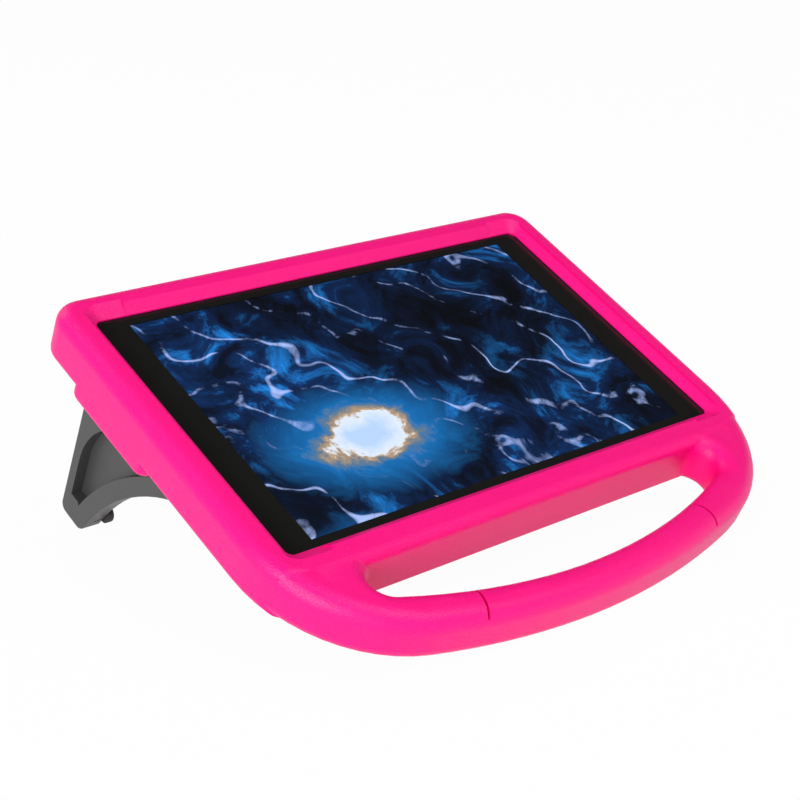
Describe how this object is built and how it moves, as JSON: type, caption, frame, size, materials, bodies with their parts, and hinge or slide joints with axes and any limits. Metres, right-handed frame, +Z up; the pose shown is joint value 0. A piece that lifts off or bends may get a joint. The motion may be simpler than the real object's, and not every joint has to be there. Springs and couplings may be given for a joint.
{
  "type": "kids tablet case",
  "caption": "Foam case with a bowed carry handle and fold-out legs, round a tablet with a lit display.",
  "frame": {"origin": "on the table, under the middle of the object's box, as it stands on its handle and open legs", "axes": "+X to the right along the display's long side, +Y away from the user, +Z up"},
  "size_m": [0.2766, 0.2404, 0.1159],
  "materials": {
    "foam": "matte, fine grain",
    "leg_plastic": "fine grain",
    "pin_steel": "drawn",
    "peg_rubber": "matte",
    "tablet_plastic": "satin",
    "border_glass": "gloss",
    "lit_panel": "gloss, lit",
    "port_metal": "satin",
    "lens_glass": "gloss"
  },
  "bodies": {
    "case": {"foam_shell": "foam", "stand_plate": "leg_plastic", "left_hinge_pin": "pin_steel", "right_hinge_pin": "pin_steel", "tablet_rear_cover": "tablet_plastic", "tablet_front_glass": "border_glass", "tablet_display": "lit_panel", "left_speaker_grille": "tablet_plastic", "right_speaker_grille": "tablet_plastic", "charging_port": "port_metal", "headphone_jack": "port_metal", "rear_camera_ring": "port_metal", "rear_camera_lens": "lens_glass"},
    "left_stand_leg": {"left_leg": "leg_plastic", "left_latch_peg": "peg_rubber"},
    "right_stand_leg": {"right_leg": "leg_plastic", "right_latch_peg": "peg_rubber"},
    "power_key": {"power_button": "tablet_plastic"},
    "volume_key": {"volume_rocker": "tablet_plastic"}
  },
  "joints": [
    {"name": "left_leg_fold", "type": "hinge", "parent": "case", "child": "left_stand_leg", "pos_m": [-0.1106, 0.04117, 0.07566], "axis": [0, -0.899, -0.438], "range_deg": [0, 90]},
    {"name": "right_leg_fold", "type": "hinge", "parent": "case", "child": "right_stand_leg", "pos_m": [0.1106, 0.04117, 0.07566], "axis": [0, 0.899, 0.438], "range_deg": [0, 90]},
    {"name": "power_key_press", "type": "slide", "parent": "case", "child": "power_key", "axis": [0, -0.899, -0.438], "range_m": [0, 0.0004], "stiffness_N_per_m": 3000},
    {"name": "volume_key_press", "type": "slide", "parent": "case", "child": "volume_key", "axis": [0, -0.899, -0.438], "range_m": [0, 0.0004], "stiffness_N_per_m": 3000}
  ]
}
